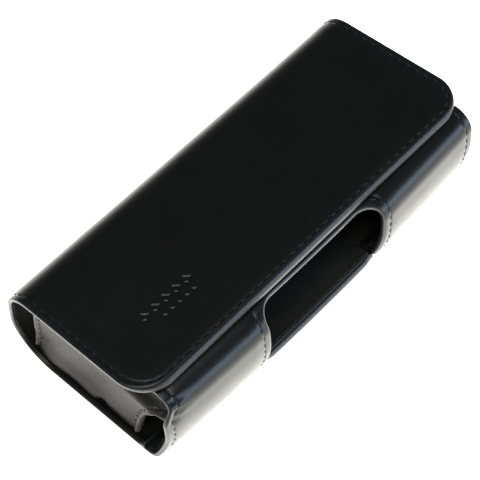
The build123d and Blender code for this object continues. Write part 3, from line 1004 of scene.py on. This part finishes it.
# ---- belt loop ----
tab_front = LOOP_FRONT_Y - LOOP_TABS_Y[0] - TAB_BEND
tab_rear = LOOP_TABS_Y[1] - LOOP_REAR_Y - TAB_BEND
wall = BACK_Z - STRAP - TAB_BEND - LOOP_CORNER
base = LOOP_REAR_Y - LOOP_FRONT_Y - 2 * LOOP_CORNER
lining_start = tab_front + TAB_BEND * quarter
loop_section = Section(
    (LOOP_TABS_Y[0], -STRAP),
    0,
    [
        (tab_front, 0), (TAB_BEND * quarter, -90), (wall, 0), (LOOP_CORNER * quarter, 90),
        (base, 0),
        (LOOP_CORNER * quarter, 90), (wall, 0), (TAB_BEND * quarter, -90), (tab_rear, 0),
    ],
    outward=-1,
)


def on_loop(x, s, depth):
    return x, *loop_section.place(s, depth)


def loop_shape(half, start, end):
    def shape(x, s):
        distance = np.minimum(half - np.abs(x), np.minimum(s - start, end - s))
        return x, s, np.maximum(distance, 0), np.zeros(x.shape)

    return shape


def strap_faces(x, s, distance, weight):
    drop = rounded(distance, STRAP * STRAP_ROUND)
    return drop + ridge(distance, LOOP_CHANNEL, LOOP_ROW, CHANNEL_WIDTH), STRAP - drop


def strap_lining_faces(x, s, distance, weight):
    start = np.full(distance.shape, STRAP - STRAP_OVERLAP)
    return start, STRAP + STRAP_LINING - rounded(distance, STRAP_LINING * SOFT_ROUND)


def loop_grid(half, start, end, marks):
    xs = grid_lines(*both_ends(-half, half, marks), even(-half, half, LOOP_STEP))
    half_way = lining_start + wall + LOOP_CORNER * quarter
    bends = [mark for mark in even(0, half_way, LOOP_BEND_STEP) if mark > start + LOOP_BEND_FROM]
    mirrored = [loop_section.length - mark for mark in bends]
    middle = even(max(bends), min(mirrored), STEP)
    return xs, grid_lines(*both_ends(start, end, marks), bends, mirrored, middle)


loop_reach = (LOOP_X, 0, loop_section.length)
lining_reach = (LOOP_X - LOOP_TUCK, lining_start, loop_section.length - lining_start)
loop_strap = slab(
    "loop_strap", *loop_grid(*loop_reach, LOOP_RINGS), everywhere, loop_shape(*loop_reach),
    on_loop, strap_faces, shell_leather, "outer_leather",
)
loop_suede = slab(
    "loop_suede", *loop_grid(*lining_reach, FEW_RINGS), everywhere, loop_shape(*lining_reach),
    on_loop, strap_lining_faces, black_suede, "suede_lining",
)
for piece, node in ((loop_strap, "belt_loop"), (loop_suede, "belt_loop_lining")):
    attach(piece, "pouch")
    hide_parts(node)


# ---- stitching ----
def turning_path(corners, radius):
    """A path through corners in flat leather, each rounded to this radius."""
    corners = np.array(corners, float)
    points = [corners[0]]
    for before, at, after in zip(corners, corners[1:], corners[2:]):
        into = (at - before) / np.linalg.norm(at - before)
        out = (after - at) / np.linalg.norm(after - at)
        for angle in np.linspace(0, quarter, TURN_POINTS):
            turned = into * (math.sin(angle) - 1) + out * (1 - math.cos(angle))
            points.append(at + radius * turned)
    return np.array([*points, corners[-1]])


def stitch_row(path):
    """Centres of a row's stitches as shares of its path, with the path's length."""
    length = float(np.hypot(*np.diff(path, axis=0).T).sum())
    count = max(1, round(length / STITCH_PITCH))
    drift = STITCH_DRIFT / count
    return [(k + 0.5) / count + rng.uniform(-drift, drift) for k in range(count)], length


def ride_pouch(piece):
    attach(piece, "pouch")


def sew(name, paths, place, nodes, follow=ride_pouch, sunk=THREAD_SUNK):
    """Rows of thread; place turns flat points and a depth into space."""
    points, faces, flat, count = [], [], [], 0
    along = np.linspace(-1, 1, STITCH_STATIONS)[:, None]
    angle = np.linspace(0, 2 * math.pi, THREAD_SIDES, endpoint=False)
    thin = np.sqrt(np.clip(THREAD_BLUNT - along**4, 0, 1))
    depth = sunk + STITCH_SINK * np.abs(along) ** 3 - THREAD_HIGH * thin * np.sin(angle)
    for path in paths:
        shares, length = stitch_row(path)
        for share in shares:
            half = STITCH_HALF * rng.uniform(*STITCH_LENGTHS)
            slant = STITCH_SLANT * rng.uniform(*STITCH_SLANTS)
            line = walk(path, np.clip(share + along[:, 0] * half / length, 0, 1))
            heading = line[-1] - line[0]
            heading = heading / np.linalg.norm(heading)
            side = THREAD_WIDE * thin * np.cos(angle) + slant * along
            x, s = line[:, :1] - heading[1] * side, line[:, 1:] + heading[0] * side
            points.append(np.stack(place(x, s, depth), -1).reshape(-1, 3))
            run, turn = np.broadcast_arrays(share * length + along * half, PLY_TURN * angle)
            flat.append(np.stack([run, turn, np.zeros(run.shape)], -1).reshape(-1, 3))
            number = np.arange(count, count + x.size).reshape(x.shape)
            ahead = np.roll(number, -1, axis=1)
            tube = np.stack([number[:-1], ahead[:-1], ahead[1:], number[1:]], -1)
            faces += tube.reshape(-1, 4).tolist()
            faces += [number[0].tolist(), number[-1, ::-1].tolist()]
            count += x.size
    piece = finish_mesh(
        name, points, faces, flat, np.zeros(count), black_thread, THREAD_SHARP
    )
    follow(piece)
    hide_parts(*nodes)


def on_gusset(side):
    def place(y, z, depth):
        return side * (GUSSET_X - depth - gusset_sag(side, y, z)), y, z

    return place


def both_sides(path):
    """A path and its mirror image, the left one first."""
    return [[(side * x, s) for x, s in path] for side in (-1, 1)]


row_x, row_end = HALF_LENGTH - EDGE_ROW, flap_end - EDGE_ROW
flap_row = [(-row_x, SPINE_GAP), (-row_x, row_end), (row_x, row_end), (row_x, SPINE_GAP)]
flap_path = turning_path(flap_row, FLAP_CORNER - EDGE_ROW)
sew("flap_thread", [flap_path], on_flap, ["flap_stitches"], bend_high)

back_paths = both_sides([(row_x, SPINE_GAP), (row_x, back_seam - ROW_GAP)])
sew("back_thread", back_paths, on_back, ["back_stitches", "spine_stitches"], bend_low)

left, right, top = WINDOW_LEFT - FRONT_ROW, WINDOW_RIGHT + FRONT_ROW, window_rim + FRONT_ROW
window_row = [(left, FOOT_GAP), (left, top), (right, top), (right, FOOT_GAP)]
window_path = turning_path(window_row, WINDOW_CORNER + FRONT_ROW)
sew("window_thread", [window_path], on_front, ["window_stitches"])

seam_x = HALF_FRONT - FRONT_ROW
seam_paths = both_sides([(seam_x, SEAM_GAP), (seam_x, front_section.length - MOUTH_GAP)])
for path, hand in zip(seam_paths, ("left", "right")):
    sew("seam_thread_" + hand, [path], on_front, ["seam_stitches_" + hand])

mouth_x, mouth_s = HALF_FRONT - MOUTH_GAP, front_section.length - FRONT_ROW
mouth_path = [(-mouth_x, mouth_s), (mouth_x, mouth_s)]
sew("mouth_thread", [mouth_path], on_front, ["mouth_stitches"])

lip_s = back_lip - EDGE_ROW
lip_path = [(WINDOW_LEFT + ROW_GAP, lip_s), (WINDOW_RIGHT - ROW_GAP, lip_s)]
sew("lip_thread", [lip_path], on_back, ["lip_stitches"], sunk=LIP_THREAD_SUNK)

seam_s = back_seam - EDGE_ROW
bottom_row = [(LOOP_X + BOTTOM_GAPS[0], seam_s), (HALF_LENGTH - BOTTOM_GAPS[1], seam_s)]
sew("bottom_thread", both_sides(bottom_row), on_back, ["bottom_seam_stitches"])

loop_x = LOOP_X - LOOP_GAP
loop_rows = (LOOP_ROW, loop_section.length - LOOP_ROW)
loop_paths = [[(-loop_x, s), (loop_x, s)] for s in loop_rows]
sew("loop_thread", loop_paths, on_loop, ["belt_loop_stitches"])

row_share = EDGE_ROW / GUSSET_WIDTH
for side, hand in ((-1, "left"), (1, "right")):
    for label, share in (("hem", row_share), ("arch", 1 - row_share)):
        u, v = np.meshgrid([0.0, share, 1.0], np.linspace(*GUSSET_ROWS), indexing="ij")
        y, z = gusset_patch(u, v)
        path = np.stack([y[1], z[1]], 1)
        nodes = [label + "_stitches_" + hand]
        sew(label + "_thread_" + hand, [path], on_gusset(side), nodes, sunk=GUSSET_THREAD_SUNK)

for start, metal in (("flap_magnet_", nickel), ("catch_plate_", steel)):
    for hand in ("left", "right"):
        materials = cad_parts[start + hand].data.materials
        materials.clear()
        materials.append(metal)


# ---- floor, light, camera ----
FLOOR_HALF = 20.0
GLOW = (0.075, 0.125, 2.6, 1.1)  # the floor glows, a painted pool of light brightest round the pouch: distances from its middle in metres, then strengths
GLOW_SCALE = (0.5, 1, 1)
GLOW_SHIFT = (0, -0.03, 0)
GLOW_COLOUR = (1.0, 0.985, 0.905, 1)
VIEW_AZIMUTH = math.radians(-41.146)
VIEW_ELEVATION = math.radians(55.264)
VIEW_ROLL = math.radians(-7.081)
VIEW_DISTANCE = 0.40933
VIEW_TARGET = Vector((-0.004688, -0.000536, 0.0202))
LENS = 118.46  # millimetres, on a sensor this wide
SENSOR = 36.0


def make_floor():
    n = Nodes("glowing_studio_paper")
    place = n.add("TexCoord").outputs["Object"]
    tone = n.noise(place, scale=30)
    n.feed("Base Color", n.blend(tone, (0.83, 0.83, 0.84), (0.86, 0.86, 0.86)))
    n.shader_values(Roughness=0.95, Specular_IOR_Level=0.1)
    # painted light: the floor emits, strongest near the pouch, and lights it from below
    away = n.add("VectorMath", {"Vector": place}, operation="MULTIPLY_ADD")
    away.inputs[1].default_value = GLOW_SCALE
    away.inputs[2].default_value = GLOW_SHIFT
    reach = n.add("VectorMath", {"Vector": away.outputs["Vector"]}, operation="LENGTH")
    n.feed("Emission Strength", n.span(reach.outputs["Value"], *GLOW))
    n.shader_values(Emission_Color=GLOW_COLOUR)
    mesh = bpy.data.meshes.new("floor")
    corners = ((-1, -1), (1, -1), (1, 1), (-1, 1))
    corners = [(x * FLOOR_HALF, y * FLOOR_HALF, 0) for x, y in corners]
    mesh.from_pydata(corners, [], [(0, 1, 2, 3)])
    mesh.materials.append(n.material)
    show("floor", mesh)


def softbox(name, place, aim, size, power, colour):
    light = bpy.data.lights.new(name, "AREA")
    light.shape = "RECTANGLE"
    light.size, light.size_y = size
    light.energy = power
    light.color = colour
    lamp = show(name, light)
    lamp.location = place
    lamp.rotation_euler = (Vector(aim) - Vector(place)).to_track_quat("-Z", "Y").to_euler()


def make_world(colour, strength):
    world_data = bpy.data.worlds.new("studio")
    world_data.use_nodes = True
    background = world_data.node_tree.nodes["Background"]
    background.inputs["Color"].default_value = (*colour, 1)
    background.inputs["Strength"].default_value = strength
    bpy.context.scene.world = world_data


def make_camera():
    back = Vector((
        math.sin(VIEW_AZIMUTH) * math.cos(VIEW_ELEVATION),
        -math.cos(VIEW_AZIMUTH) * math.cos(VIEW_ELEVATION),
        math.sin(VIEW_ELEVATION),
    ))
    level = (-back).cross(Vector((0, 0, 1))).normalized()
    up = level.cross(-back)
    right = math.cos(VIEW_ROLL) * level + math.sin(VIEW_ROLL) * up
    top = -math.sin(VIEW_ROLL) * level + math.cos(VIEW_ROLL) * up
    turn = Matrix((right, top, back)).transposed().to_4x4()
    data = bpy.data.cameras.new("camera")
    data.sensor_width = SENSOR
    data.lens = LENS
    data.clip_start = 0.01
    camera = show("camera", data)
    camera.matrix_world = Matrix.Translation(VIEW_TARGET + back * VIEW_DISTANCE) @ turn
    bpy.context.scene.camera = camera


make_floor()
make_world(colour=(0.93, 0.965, 1.0), strength=0.10)
softbox(
    "overhead", place=(-0.35, -0.25, 1.5), aim=(0, 0, 0), size=(0.9, 0.9), power=8,
    colour=(1, 0.99, 0.96),
)
softbox(
    "window_side", place=(0.42, -0.95, 0.2), aim=(0, 0, 0.02), size=(1.1, 0.34), power=5.9,
    colour=(0.56, 0.77, 1.0),
)
make_camera()
bpy.context.scene.view_settings.view_transform = "Standard"
